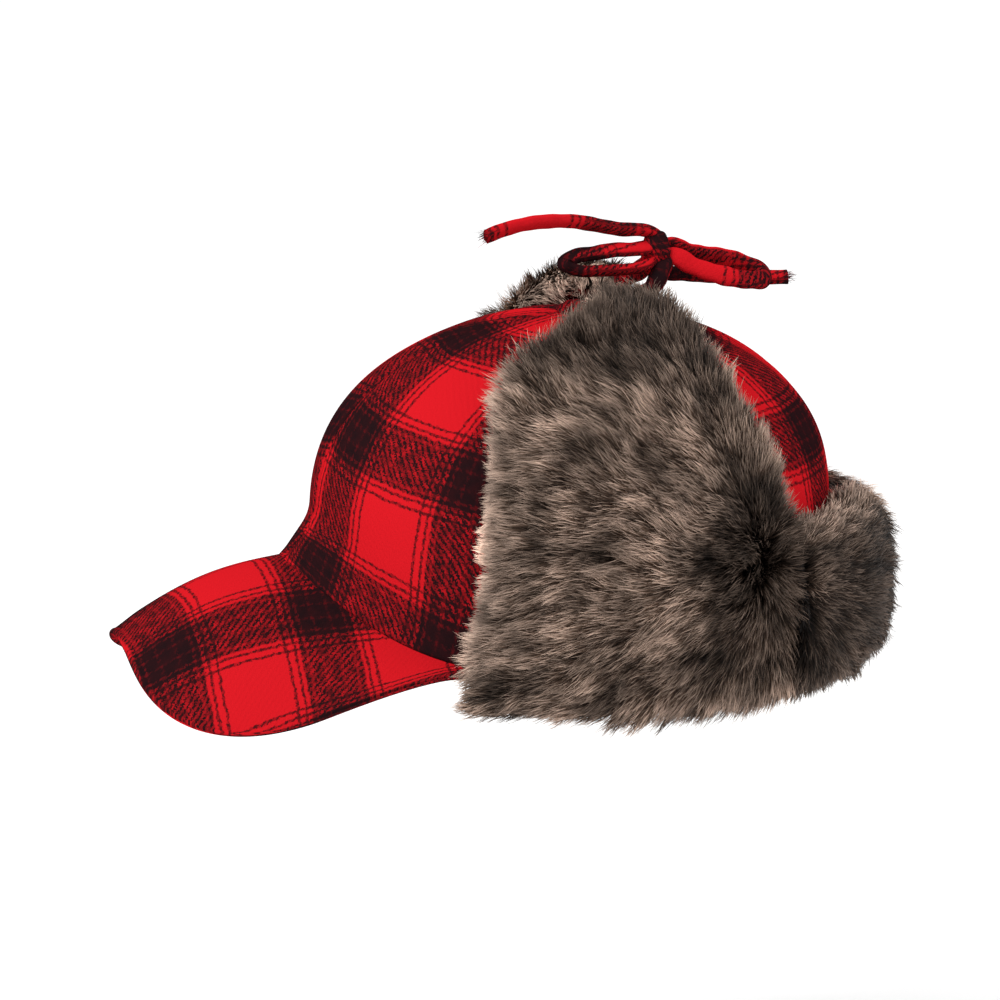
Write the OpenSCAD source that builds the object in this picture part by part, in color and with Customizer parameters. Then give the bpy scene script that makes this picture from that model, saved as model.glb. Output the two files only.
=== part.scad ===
// Trapper hat: six-gore cloth crown, covered curved brim, and a fur-faced ear and neck
// flap ring that folds up around the crown, with the two ear flaps tied over the top.
// Millimetres. The head opening is at Z = 0, the brim points along -Y, the wearer's left is +X.

/* [Crown] */
// Half of the crown's length at its widest level, front to back
crown_half_length = 102; // [92:1:112]
// Half of the crown's width at its widest level
crown_half_width = 86; // [78:1:94]
// Height at which the upright wall turns into the dome
spring_height = 50; // [44:1:56]
// Rise of the dome above the upright wall
dome_height = 79.5; // [76:0.5:90]
// How far the peak sits behind the middle
peak_shift = 2.5; // [0:0.5:10]
// How square the dome's shoulders are: 1 is round, less is fuller
dome_fullness = 0.82; // [0.8:0.01:1.1]
// Height of the front centre of the lower edge above its sides
front_rise = 37; // [28:1:40]
// How far the front wall kicks out where the brim is sewn on
front_flare = 13; // [8:1:16]
// Thickness of the quilted cloth of a gore
gore_t = 2.5; // [1.8:0.1:3]

/* [Brim] */
// Reach of the brim in front of the crown
brim_length = 63.5; // [58:0.5:76]
// How far the left front corner reaches past the right one, as the soft brim sits (mm)
brim_turn = 5; // [0:0.5:6]
// Half of the curved brim's width
brim_half_width = 71.5; // [66:0.5:76]
// Downward slope of the brim's middle, in degrees
brim_slope = 22.5; // [12:0.5:24]
// Radius to which the brim is bent across
brim_bend = 77.5; // [77:0.5:110]
// Where the brim ends on the crown, in degrees from the front
brim_end = 55; // [48:1:56]
// Thickness of the stiffening board
board_t = 2; // [1.4:0.1:3]
// Thickness of the cloth on each side of the board
brim_cloth_t = 1.1; // [0.8:0.1:1.6]

/* [Flaps] */
// Front edge of an ear flap, in degrees from the front
ear_front = 59; // [58:1:64]
// Where the ear flap ends and the neck flap starts, in degrees from the front
ear_rear = 126; // [118:1:130]
// Where the neck flap's side and middle panels meet
neck_split = 152; // [148:1:156]
// How far up the dome an ear flap's tip reaches, in degrees
ear_reach = 75; // [68:1:78]
// How far an ear flap's front edge sweeps back towards its tip, in degrees
ear_sweep = 36; // [20:1:44]
// How much further back the bow draws the right ear flap's front edge, in degrees
right_pull = 26; // [0:1:28]
// Height of the folded-up neck flap
neck_height = 53; // [42:1:54]
// Depth of the fold below the crown's edge
fold_drop = 7; // [5:0.5:9]
// Thickness of the cloth side of a flap
flap_cloth_t = 1.2; // [0.8:0.1:2]
// Thickness of the padding
padding_t = 3; // [2:0.5:4]
// Thickness of the fur, hide and lying pile together, on the ear flaps
ear_fur_t = 8; // [5:0.5:10]
// Thickness of the fur on the neck flap
neck_fur_t = 10; // [6:0.5:12]

/* [Ties] */
// Thickness of a tie, a soft cloth tube
tie_d = 5.4; // [4.4:0.2:5.4]
// Radius of the knot, which is taller than it is wide
knot_r = 5.2; // [4.4:0.2:5.4]

/* [Hidden] */
gap = 1.5;        // clearance between the crown and a folded-up flap
skin_gap = 0.1;   // clearance between two layers of one sewn panel
edge_z = 1;       // height of the crown's lower edge at the sides and back
part_gap = 1.2;   // degrees left between neighbouring panels
close_in = 0.45;  // degrees a panel's edge draws in for each mm out from the crown
ear_lift = 3;     // how far an ear flap's tip stands off the crown
ear_thin = 0.45;  // share by which the fur thins towards the tip
neck_bulge = 8;   // how far the neck flap bows out at half its height
layer2 = gap + flap_cloth_t + 0.15;
layer3 = layer2 + padding_t + 0.6;

// Route of the left tie: up from its flap, round the front loop, and out along the front tail
left_stem = [[17, 24, 137], [13, 30, 140], [8, 35, 146]];
left_loop = [[9.5, 26, 147], [12, 18, 147], [14, 8, 147.5], [14, 0, 148], [12.5, -5, 150.5],
  [10, 0, 153], [9, 8, 153.5], [7.5, 16, 154], [6, 25, 153.5]];
left_tail = [[2, 29, 160], [3, 20, 161], [5, 10, 163.5], [7, 0, 166], [9, -10, 167],
  [11, -20, 167], [13, -30, 165.5], [14, -37, 163.5]];
// Route of the right tie: up from its flap, round the rear loop, and out along the rear tail
right_stem = [[-17, 24, 137], [-11, 29, 140], [-5, 33, 145]];
right_loop = [[5, 41, 149.5], [6, 48, 145.5], [8, 58, 142], [8, 68, 139.5], [4, 76, 138.5],
  [-1, 76, 141], [-4, 68, 144.5], [-5, 58, 147], [-3, 48, 149.5], [-1.5, 41, 153]];
right_tail = [[-6, 40, 141], [-10, 50, 139], [-12, 62, 137], [-11, 74, 136], [-9, 84, 136], [-8, 90, 136]];
knot_at = [2, 34, 151];
knot_rise = 4;    // half of the knot's straight middle

function clamp01(t) = min(max(t, 0), 1);
function ease(t) = let (c = clamp01(t)) c * c * (3 - 2 * c);
function signed_pow(v, p) = sign(v) * pow(abs(v), p);

// Height of the crown's lower edge, az degrees from the front: it arches up over the brim
function edge_height(az) = let (a = abs(az))
  edge_z + front_rise * (0.62 * exp(-pow(a / 30, 2)) + 0.38 * (1 - ease(a / 95)));

// How far the front of the crown kicks out at height z, towards the brim's seam
function kick(az, z) =
  front_flare * exp(-pow(az / 28, 2)) * pow(clamp01((edge_height(az) + 20 - z) / 20), 1.4);

// A point on the crown's wall at height z, pushed out by off
function wall_point(az, z, off) = let (k = off + kick(az, z))
  [(crown_half_width + k) * sin(az), -(crown_half_length + k) * cos(az), z];

// A point on the crown's dome, rise degrees up from the wall to the peak
function dome_point(az, rise, off) = let (
    r = cos(rise),
    z = spring_height + (dome_height + off) * pow(sin(rise), dome_fullness),
    k = kick(az, z))
  [((crown_half_width + off) * r + k) * sin(az),
   -((crown_half_length + off) * r + k) * cos(az) + peak_shift * pow(sin(rise), 2), z];

// A point on the crown at height z, on the wall or on the dome
function height_point(az, z, off) = z <= spring_height ? wall_point(az, z, off)
  : dome_point(az, asin(pow((z - spring_height) / (dome_height + off), 1 / dome_fullness)), off);

// A point from the lower edge (q = 0) over the wall to the peak (q = 1)
function crown_point(az, q, off) = q < 0.35
  ? wall_point(az, edge_height(az) + (spring_height - edge_height(az)) * q / 0.35, off)
  : dome_point(az, (q - 0.35) / 0.65 * 90, off);

// Closed sheet between two grids of points with the same rows and columns
module sheet(under, over) {
  rows = len(under);
  cols = len(under[0]);
  n = rows * cols;
  points = concat([for (r = under) for (p = r) p], [for (r = over) for (p = r) p]);
  function at(i, j) = i * cols + j;
  faces = concat(
    [for (i = [0:rows - 2], j = [0:cols - 2]) each
      [[at(i, j), at(i + 1, j), at(i + 1, j + 1)], [at(i, j), at(i + 1, j + 1), at(i, j + 1)]]],
    [for (i = [0:rows - 2], j = [0:cols - 2]) each
      [[n + at(i, j), n + at(i + 1, j + 1), n + at(i + 1, j)],
       [n + at(i, j), n + at(i, j + 1), n + at(i + 1, j + 1)]]],
    [for (j = [0:cols - 2]) each
      [[at(0, j), at(0, j + 1), n + at(0, j)], [at(0, j + 1), n + at(0, j + 1), n + at(0, j)],
       [at(rows - 1, j), n + at(rows - 1, j), at(rows - 1, j + 1)],
       [at(rows - 1, j + 1), n + at(rows - 1, j), n + at(rows - 1, j + 1)]]],
    [for (i = [0:rows - 2]) each
      [[at(i, 0), n + at(i, 0), at(i + 1, 0)], [at(i + 1, 0), n + at(i, 0), n + at(i + 1, 0)],
       [at(i, cols - 1), at(i + 1, cols - 1), n + at(i, cols - 1)],
       [at(i + 1, cols - 1), n + at(i + 1, cols - 1), n + at(i, cols - 1)]]]);
  polyhedron(points, faces, convexity = 6);
}

// ---- crown ----
gore_rows = 12;
gore_cols = 9;
seam_gap = 0.05;
top_q = 0.975;

module gore(from, to) {
  steps_q = [for (i = [0:gore_rows]) i / gore_rows * top_q];
  steps_a = [for (j = [0:gore_cols]) from + seam_gap + (to - from - 2 * seam_gap) * j / gore_cols];
  sheet([for (q = steps_q) [for (a = steps_a) crown_point(a, q, -gore_t)]],
        [for (q = steps_q) [for (a = steps_a) crown_point(a, q, 0)]]);
}

module crown_front_left() { color("firebrick") gore(0, 60); }
module crown_front_right() { color("firebrick") gore(-60, 0); }
module crown_side_left() { color("darkred") gore(60, 120); }
module crown_side_right() { color("darkred") gore(-120, -60); }
module crown_back_left() { color("brown") gore(120, 180); }
module crown_back_right() { color("brown") gore(180, 240); }

// Cloth-covered button over the point where the gores meet, with its shank through the crown
peak_z = spring_height + dome_height;
module top_button() {
  color("firebrick") translate([0, peak_shift, peak_z + 0.2])
    difference() {
      translate([0, 0, -5.5]) sphere(r = 9.5, $fn = 48);
      translate([0, 0, -30]) cylinder(r = 20, h = 30, $fn = 48);
    }
}
module button_shank() {
  color("silver") translate([0, peak_shift, peak_z - 8]) {
    cylinder(r = 1.1, h = 8.1, $fn = 24);
    cylinder(r = 3.5, h = 0.8, $fn = 24);
  }
}

// Lining cup inside the gores, in one closed solid
module crown_lining() {
  out = -gore_t - 0.4;
  inn = out - 1.2;
  cols = 6 * gore_cols;
  rows = gore_rows;
  ring = cols;
  qs = [for (i = [0:rows - 1]) i == 0 ? 0.02 : i / gore_rows * top_q];
  outer = [for (q = qs) for (j = [0:cols - 1]) crown_point(j * 360 / cols - 180, q, out)];
  inner = [for (q = qs) for (j = [0:cols - 1]) crown_point(j * 360 / cols - 180, q, inn)];
  top_out = crown_point(0, 1, out);
  top_in = crown_point(0, 1, inn);
  n = rows * cols;
  function nx(j) = (j + 1) % cols;
  color("dimgray") difference() {
    polyhedron(concat(outer, inner, [top_out, top_in]), concat(
      [for (i = [0:rows - 2], j = [0:cols - 1]) each
        [[i * ring + j, (i + 1) * ring + nx(j), i * ring + nx(j)],
         [i * ring + j, (i + 1) * ring + j, (i + 1) * ring + nx(j)]]],
      [for (j = [0:cols - 1]) [(rows - 1) * ring + j, 2 * n, (rows - 1) * ring + nx(j)]],
      [for (i = [0:rows - 2], j = [0:cols - 1]) each
        [[n + i * ring + j, n + i * ring + nx(j), n + (i + 1) * ring + nx(j)],
         [n + i * ring + j, n + (i + 1) * ring + nx(j), n + (i + 1) * ring + j]]],
      [for (j = [0:cols - 1]) [n + (rows - 1) * ring + j, n + (rows - 1) * ring + nx(j), 2 * n + 1]],
      [for (j = [0:cols - 1]) each [[j, nx(j), n + j], [nx(j), n + nx(j), n + j]]]), convexity = 6);
    translate([0, peak_shift, peak_z - 12]) cylinder(r = 4.2, h = 20, $fn = 24);
  }
}

// Folded band that lies against the forehead, sewn round the lower edge
module sweatband() {
  out = -gore_t - 2.6;
  inn = out - 1.4;
  cols = 54;
  rise = [1.2, 7, 13, 19, 24, 29];
  function band(off) = [for (k = rise) [for (j = [0:cols])
    let (a = -179.6 + 359.2 * j / cols) height_point(a, edge_height(a) + k, off)]];
  color("black") sheet(band(inn), band(out));
}

// ---- brim ----
brim_cols = 26;
brim_rows = 7;
brim_tip_z = edge_z + front_rise - brim_length * tan(brim_slope);

// A point on the brim: s from -1 to 1 across, w from the seam out to the edge, d below the top
function brim_point(s, w, d) = let (
    inner = wall_point(s * brim_end, edge_height(s * brim_end), 0.4),
    corner = wall_point(brim_end, edge_height(brim_end), 0.4),
    tip_y = crown_half_length + front_flare + brim_length,
    x = brim_half_width * signed_pow(sin(s * 90), 0.51),
    y = -(-corner[1] + (tip_y + corner[1]) * pow(abs(cos(s * 89.9)), 0.5)) - brim_turn * x / brim_half_width,
    sag = brim_bend - sqrt(pow(brim_bend, 2) - x * x),
    z = brim_tip_z - sag + tan(brim_slope) * (tip_y + y),
    stub = wall_point(s * brim_end, edge_height(s * brim_end) - 2.5, 5.5),
    k = ease((abs(s) - 0.86) / 0.14),
    outer = [x, y, z] * (1 - k) + stub * k,
    bow = 5.4 * sin(w * 180) * (1 - pow(abs(s), 3)),
    p = inner * (1 - w) + outer * w + [0, 0, bow],
    lean = asin(p[0] / (brim_bend + 6)))
  p - d * [sin(lean), 0, cos(lean)];

module brim_sheet(d0, d1, trim) {
  s_steps = [for (j = [0:brim_cols]) -1 + 2 * j / brim_cols];
  w_steps = [for (i = [0:brim_rows]) trim * i / brim_rows];
  sheet([for (w = w_steps) [for (s = s_steps) brim_point(-s, w, d1)]],
        [for (w = w_steps) [for (s = s_steps) brim_point(-s, w, d0)]]);
}
module brim_top_cloth() { color("firebrick") brim_sheet(0, brim_cloth_t, 1); }
module brim_board() {
  color("gainsboro") brim_sheet(brim_cloth_t + skin_gap, brim_cloth_t + skin_gap + board_t, 0.985);
}
module brim_under_cloth() {
  under = brim_cloth_t + board_t + 2 * skin_gap;
  color("darkred") brim_sheet(under, under + brim_cloth_t, 1);
}

// ---- flaps ----
// Offset from the crown at height share h, for an ear flap or for the neck flap
function ear_off(h) = ear_lift * ease((h - 0.55) / 0.45);
function neck_off(h) = neck_bulge * pow(sin(180 * clamp01(h)), 0.8) * (1 - 0.18 * h);

// The front and the rear edge of an ear flap at height share h, in degrees from the front
function ear_rise(h) = max(h - 0.35, 0) / 0.65 * ear_reach;
function ear_front_at(h, pull) = ear_front + 3 * ease(h / 0.35)
  + pull * ease(ear_rise(h) / 45) * (1 - 0.7 * ease((ear_rise(h) - 45) / (ear_reach - 45)))
  + ear_sweep * ease((ear_rise(h) - 45) / (ear_reach - 45));
function ear_rear_at(h) = ear_rear - part_gap - 6 * ease(ear_rise(h) / 45)
  + 8 * ease((ear_rise(h) - 50) / (ear_reach - 50));

// A point on an ear flap: it follows the wall, then the dome up to ear_reach
function ear_point(az, h, off) = let (o = off + ear_off(h))
  h < 0.35
  ? wall_point(az, -fold_drop + (spring_height + fold_drop) * h / 0.35, o)
  : dome_point(az, (h - 0.35) / 0.65 * ear_reach, o);

// A point on the neck flap, which stands up along the wall only
function neck_point(az, h, off) =
  wall_point(az, -fold_drop + (neck_height + fold_drop) * h, off + neck_off(h));

// Across a panel at offset off, s from 0 to 1: the edges draw in as the panel gets thicker
function across(from, to, s, off) = let (d = close_in * (off - gap))
  from + d + (to - from - 2 * d) * s;

// Even steps from 0 to 1, with the first and the last drawn in
function steps(n, draw) = [for (i = [0:n]) min(max(i / n, draw), 1 - draw)];

module ear_layer(pull, o0, o1, inset, thin = 0) {
  function grid(o, less) = [for (h = steps(14, inset / 175)) [for (s = steps(10, inset / 110))
    ear_point(across(ear_front_at(h, pull), ear_rear_at(h), s, o), h, o - less * ease((h - 0.75) / 0.25))]];
  sheet(grid(o0, 0), grid(o1, thin * (o1 - o0)));
}
module neck_layer(from, to, o0, o1, inset) {
  wide = (to - from) * 1.6;
  function grid(o) = [for (h = steps(9, inset / 57)) [for (s = steps(8, inset / wide))
    neck_point(across(from, to, s, o), h, o)]];
  sheet(grid(o0), grid(o1));
}

module ear_cloth(pull) { ear_layer(pull, gap, gap + flap_cloth_t, 0); }
module ear_padding(pull) { ear_layer(pull, layer2, layer2 + padding_t, 2); }
module ear_fur(pull) { ear_layer(pull, layer3, layer3 + ear_fur_t, 0, ear_thin); }
module left_ear_cloth() { color("firebrick") ear_cloth(0); }
module left_ear_padding() { color("white") ear_padding(0); }
module left_ear_fur() { color("rosybrown") ear_fur(0); }
module right_ear_cloth() { color("firebrick") mirror([1, 0, 0]) ear_cloth(right_pull); }
module right_ear_padding() { color("white") mirror([1, 0, 0]) ear_padding(right_pull); }
module right_ear_fur() { color("rosybrown") mirror([1, 0, 0]) ear_fur(right_pull); }

module neck_side_cloth() { neck_layer(ear_rear, neck_split - part_gap, gap, gap + flap_cloth_t, 0); }
module neck_side_padding() {
  neck_layer(ear_rear, neck_split - part_gap, layer2, layer2 + padding_t, 2);
}
module neck_side_fur() { neck_layer(ear_rear, neck_split - part_gap, layer3, layer3 + neck_fur_t, 0); }
module neck_left_cloth() { color("firebrick") neck_side_cloth(); }
module neck_left_padding() { color("white") neck_side_padding(); }
module neck_left_fur() { color("tan") neck_side_fur(); }
module neck_right_cloth() { color("firebrick") mirror([1, 0, 0]) neck_side_cloth(); }
module neck_right_padding() { color("white") mirror([1, 0, 0]) neck_side_padding(); }
module neck_right_fur() { color("tan") mirror([1, 0, 0]) neck_side_fur(); }
module neck_middle_cloth() {
  color("firebrick") neck_layer(neck_split, 360 - neck_split, gap, gap + flap_cloth_t, 0);
}
module neck_middle_padding() {
  color("white") neck_layer(neck_split, 360 - neck_split, layer2, layer2 + padding_t, 2);
}
module neck_middle_fur() {
  color("burlywood") neck_layer(neck_split, 360 - neck_split, layer3, layer3 + neck_fur_t, 0);
}

// ---- ties ----
tie_sides = 10;
function unit(v) = v / norm(v);
function cat(p0, p1, p2, p3, t) = 0.5 * (2 * p1 + (p2 - p0) * t
  + (2 * p0 - 5 * p1 + 4 * p2 - p3) * t * t + (3 * p1 - p0 - 3 * p2 + p3) * t * t * t);
function smooth_route(pts, per) = let (n = len(pts))
  [for (i = [0:n - 2], k = [0:per - 1])
    cat(pts[max(i - 1, 0)], pts[i], pts[i + 1], pts[min(i + 2, n - 1)], k / per), pts[n - 1]];

module tube(pts, per) {
  path = smooth_route(pts, per);
  n = len(path);
  dirs = [for (i = [0:n - 1]) unit(path[min(i + 1, n - 1)] - path[max(i - 1, 0)])];
  rings = [for (i = [0:n - 1]) let (side = unit(cross(dirs[i], [1, 0, 0])), other = cross(side, dirs[i]))
    each [for (k = [0:tie_sides - 1]) let (a = k * 360 / tie_sides)
      path[i] + tie_d / 2 * (side * cos(a) + other * sin(a))]];
  function ring_at(i, k) = i * tie_sides + k % tie_sides;
  polyhedron(rings, concat(
    [[for (k = [0:tie_sides - 1]) k]],
    [for (i = [0:n - 2], k = [0:tie_sides - 1]) each
      [[ring_at(i, k), ring_at(i + 1, k), ring_at(i + 1, k + 1)],
       [ring_at(i, k), ring_at(i + 1, k + 1), ring_at(i, k + 1)]]],
    [[for (k = [tie_sides - 1:-1:0]) (n - 1) * tie_sides + k]]), convexity = 8);
}

module left_tie() {
  color("red") {
    tube(left_stem, 2);
    tube(left_loop, 2);
    tube(left_tail, 1);
  }
}
module right_tie() {
  color("crimson") {
    tube(right_stem, 2);
    tube(right_loop, 2);
    tube(right_tail, 1);
  }
}
module tie_knot() {
  color("maroon") translate(knot_at) {
    translate([0, 0, -knot_rise]) cylinder(r = knot_r, h = 2 * knot_rise, $fn = 32);
    translate([0, 0, knot_rise]) sphere(r = knot_r, $fn = 32);
    translate([0, 0, -knot_rise]) sphere(r = knot_r, $fn = 32);
  }
}

crown_front_left();
crown_front_right();
crown_side_left();
crown_side_right();
crown_back_left();
crown_back_right();
top_button();
button_shank();
crown_lining();
sweatband();
brim_top_cloth();
brim_board();
brim_under_cloth();
left_ear_cloth();
left_ear_padding();
left_ear_fur();
right_ear_cloth();
right_ear_padding();
right_ear_fur();
neck_middle_cloth();
neck_middle_padding();
neck_middle_fur();
neck_left_cloth();
neck_left_padding();
neck_left_fur();
neck_right_cloth();
neck_right_padding();
neck_right_fur();
left_tie();
right_tie();
tie_knot();
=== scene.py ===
import math
import bmesh
import bpy
import numpy as np
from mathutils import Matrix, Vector


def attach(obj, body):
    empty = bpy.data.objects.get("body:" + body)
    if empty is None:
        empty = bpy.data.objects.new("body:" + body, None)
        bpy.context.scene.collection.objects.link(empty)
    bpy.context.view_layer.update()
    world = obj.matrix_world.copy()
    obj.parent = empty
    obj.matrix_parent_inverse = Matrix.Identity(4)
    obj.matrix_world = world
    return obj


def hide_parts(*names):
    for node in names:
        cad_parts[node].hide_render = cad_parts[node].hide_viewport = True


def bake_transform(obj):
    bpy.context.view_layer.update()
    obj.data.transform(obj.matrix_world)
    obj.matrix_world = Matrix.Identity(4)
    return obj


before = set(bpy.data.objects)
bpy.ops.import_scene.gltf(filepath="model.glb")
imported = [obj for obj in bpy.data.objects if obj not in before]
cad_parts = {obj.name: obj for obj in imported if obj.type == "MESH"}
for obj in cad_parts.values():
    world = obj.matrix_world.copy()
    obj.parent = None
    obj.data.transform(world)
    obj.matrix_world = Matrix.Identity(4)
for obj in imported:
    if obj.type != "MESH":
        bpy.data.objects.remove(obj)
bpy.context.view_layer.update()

MM = 0.001


# ---- Camera, light and floor ----
# The hat is seen from its left side and a little in front, from just above the brim, through
# a long lens. An even white room lights it, with a soft lamp high in front and a weaker one behind.
CAM_AZ, CAM_EL = math.radians(75), math.radians(13)
CAM_BACK = 6.0
CAM_SLIDE, CAM_RAISE = -0.0268, 0.0528
FLOOR_Z = -0.185

back = Vector((math.sin(CAM_AZ) * math.cos(CAM_EL), -math.cos(CAM_AZ) * math.cos(CAM_EL), math.sin(CAM_EL)))
right = Vector((math.cos(CAM_AZ), math.sin(CAM_AZ), 0))
up = back.cross(right)
camera = bpy.data.objects.new("camera", bpy.data.cameras.new("camera"))
camera.data.lens = 556
camera.data.clip_end = 50
camera.location = back * CAM_BACK + right * CAM_SLIDE + up * CAM_RAISE
camera.rotation_euler = back.to_track_quat("Z", "Y").to_euler()
bpy.context.collection.objects.link(camera)
bpy.context.scene.camera = camera
bpy.context.scene.view_settings.view_transform = "Standard"

world = bpy.data.worlds.new("white room")
world.use_nodes = True
world.node_tree.nodes["Background"].inputs["Color"].default_value = (1, 1, 1, 1)
world.node_tree.nodes["Background"].inputs["Strength"].default_value = 1.0
bpy.context.scene.world = world


def soft_lamp(name, place, size, watts):
    lamp = bpy.data.objects.new(name, bpy.data.lights.new(name, "AREA"))
    lamp.data.size = size
    lamp.data.energy = watts
    lamp.location = place
    lamp.rotation_euler = Vector(place).to_track_quat("Z", "Y").to_euler()
    bpy.context.collection.objects.link(lamp)


soft_lamp("high left lamp", back * 1.1 - right * 1.1 + up * 1.3, 0.9, 22)
soft_lamp("rear lamp", right * 1.5 + up * 0.9 - back * 0.4, 1.0, 6)

floor_mesh = bpy.data.meshes.new("floor")
floor_mesh.from_pydata([(x, y, FLOOR_Z) for x, y in ((-6, -6), (6, -6), (6, 6), (-6, 6))], [], [(0, 1, 2, 3)])
floor = bpy.data.objects.new("floor", floor_mesh)
bpy.context.collection.objects.link(floor)
floor_paint = bpy.data.materials.new("pale floor")
floor_paint.use_nodes = True
floor_paint.node_tree.nodes["Principled BSDF"].inputs["Base Color"].default_value = (0.98, 0.98, 0.98, 1)
floor_paint.node_tree.nodes["Principled BSDF"].inputs["Roughness"].default_value = 0.9
floor.data.materials.append(floor_paint)


# ---- Plaid ties and their knot ----
# Each ear flap ends in a tie, a soft flat tube sewn from the same plaid cloth with raw, frayed
# ends. The two are tied in a bow over the crown: a loop and a tail point forward, the others back.
TIE_WIDE, TIE_THICK = 7.4 * MM, 4.5 * MM
REPEAT = 62 * MM
YARN = 0.8 * MM


def sockets(tree, ins, outs):
    for name, kind, value in ins:
        s = tree.interface.new_socket(name, in_out="INPUT", socket_type=kind)
        if value is not None:
            s.default_value = value
    for name, kind in outs:
        tree.interface.new_socket(name, in_out="OUTPUT", socket_type=kind)
    return tree.nodes.new("NodeGroupInput"), tree.nodes.new("NodeGroupOutput")


def sum_node(tree, op, a, b=None, c=None, clamp=False):
    n = tree.nodes.new("ShaderNodeMath")
    n.operation = op
    n.use_clamp = clamp
    for i, v in enumerate((a, b, c)):
        if v is None:
            continue
        if isinstance(v, (int, float)):
            n.inputs[i].default_value = v
        else:
            tree.links.new(v, n.inputs[i])
    return n.outputs[0]


def plaid_group():
    t = bpy.data.node_groups.new("plaid twill", "ShaderNodeTree")
    gi, go = sockets(t, [("Cloth", "NodeSocketVector", None), ("Repeat", "NodeSocketFloat", REPEAT),
                         ("Yarn", "NodeSocketFloat", YARN), ("Nap", "NodeSocketFloat", 0.6)],
                     [("Color", "NodeSocketColor"), ("Height", "NodeSocketFloat"), ("Dark", "NodeSocketFloat")])
    new, link = t.nodes.new, t.links.new

    def noise(scale, detail=2.0):
        n = new("ShaderNodeTexNoise")
        n.inputs["Scale"].default_value = scale
        n.inputs["Detail"].default_value = detail
        link(gi.outputs["Cloth"], n.inputs["Vector"])
        return n

    # yarns wander a little, more over long stretches than over short ones
    wander = gi.outputs["Cloth"]
    for scale, much in ((60, 0.0018), (380, 0.0016), (1150, 0.0017)):
        centred = new("ShaderNodeVectorMath")
        centred.operation = "SUBTRACT"
        link(noise(scale).outputs["Color"], centred.inputs[0])
        centred.inputs[1].default_value = (0.5, 0.5, 0.5)
        step = new("ShaderNodeVectorMath")
        step.operation = "MULTIPLY_ADD"
        link(centred.outputs[0], step.inputs[0])
        step.inputs[1].default_value = (much, much, 0)
        link(wander, step.inputs[2])
        wander = step.outputs[0]
    split = new("ShaderNodeSeparateXYZ")
    link(wander, split.inputs[0])

    def stripes(along):
        share = sum_node(t, "DIVIDE", along, gi.outputs["Repeat"])
        fold = sum_node(t, "MULTIPLY", sum_node(t, "PINGPONG", share, 0.5), 2.0)
        ramp = new("ShaderNodeValToRGB")
        ramp.color_ramp.elements.remove(ramp.color_ramp.elements[1])
        stops = [(0.0, 0), (0.425, 0), (0.435, 0.9), (0.462, 0.9), (0.472, 0), (0.53, 0), (0.54, 0.9),
                 (0.567, 0.9), (0.577, 0.06), (0.61, 0.12), (0.63, 1), (0.675, 1), (0.69, 0.75), (0.71, 0.75),
                 (0.725, 1.0), (0.86, 1.0), (0.875, 0.9), (0.9, 0.9), (0.915, 1.0), (1.0, 1.0)]
        ramp.color_ramp.elements[0].position = 0
        ramp.color_ramp.elements[0].color = (0, 0, 0, 1)
        for place, dark in stops[1:]:
            e = ramp.color_ramp.elements.new(place)
            e.color = (dark, dark, dark, 1)
        link(fold, ramp.inputs[0])
        return ramp.outputs[0]

    warp, weft = stripes(split.outputs[0]), stripes(split.outputs[1])
    # two-over-two twill: warp shows on one half of each diagonal rib, weft on the other
    both = sum_node(t, "ADD", split.outputs[0], split.outputs[1])
    rib = sum_node(t, "DIVIDE", both, sum_node(t, "MULTIPLY", gi.outputs["Yarn"], 4.0))
    across = sum_node(t, "MULTIPLY", sum_node(t, "PINGPONG", rib, 0.5), 2.0)
    fleck = noise(1500, 1.0).outputs["Fac"]
    uneven = sum_node(t, "MULTIPLY_ADD", sum_node(t, "SUBTRACT", fleck, 0.5), 2.6, across)
    shown = new("ShaderNodeMapRange")
    shown.interpolation_type = "SMOOTHSTEP"
    link(uneven, shown.inputs["Value"])
    shown.inputs["From Min"].default_value = 0.34
    shown.inputs["From Max"].default_value = 0.62
    woven = new("ShaderNodeMix")
    link(shown.outputs[0], woven.inputs["Factor"])
    link(weft, woven.inputs["A"])
    link(warp, woven.inputs["B"])
    # brushing lifts the darker yarn's fibres over the weave, in small uneven patches
    haze = sum_node(t, "MULTIPLY", sum_node(t, "MAXIMUM", warp, weft), 0.97)
    brushed = new("ShaderNodeMix")
    patches = sum_node(t, "MULTIPLY_ADD", noise(230).outputs["Fac"], 2.4, -0.2)
    patchy = sum_node(t, "MULTIPLY", gi.outputs["Nap"], patches, clamp=True)
    link(patchy, brushed.inputs["Factor"])
    link(woven.outputs["Result"], brushed.inputs["A"])
    link(haze, brushed.inputs["B"])
    dark = brushed.outputs["Result"]
    tone = new("ShaderNodeMix")
    tone.data_type = "RGBA"
    link(dark, tone.inputs[0])
    tone.inputs[6].default_value = (0.51, 0.0085, 0.0135, 1)
    tone.inputs[7].default_value = (0.0075, 0.0055, 0.0065, 1)
    fibre = noise(2600, 2.0).outputs["Fac"]
    lit = new("ShaderNodeHueSaturation")
    link(tone.outputs[2], lit.inputs["Color"])
    link(sum_node(t, "MULTIPLY_ADD", fibre, 0.5, 0.75), lit.inputs["Value"])
    link(lit.outputs[0], go.inputs["Color"])
    link(sum_node(t, "ADD", sum_node(t, "MULTIPLY", across, 0.5), fibre), go.inputs["Height"])
    link(dark, go.inputs["Dark"])
    return t


PLAID = plaid_group()


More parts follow.
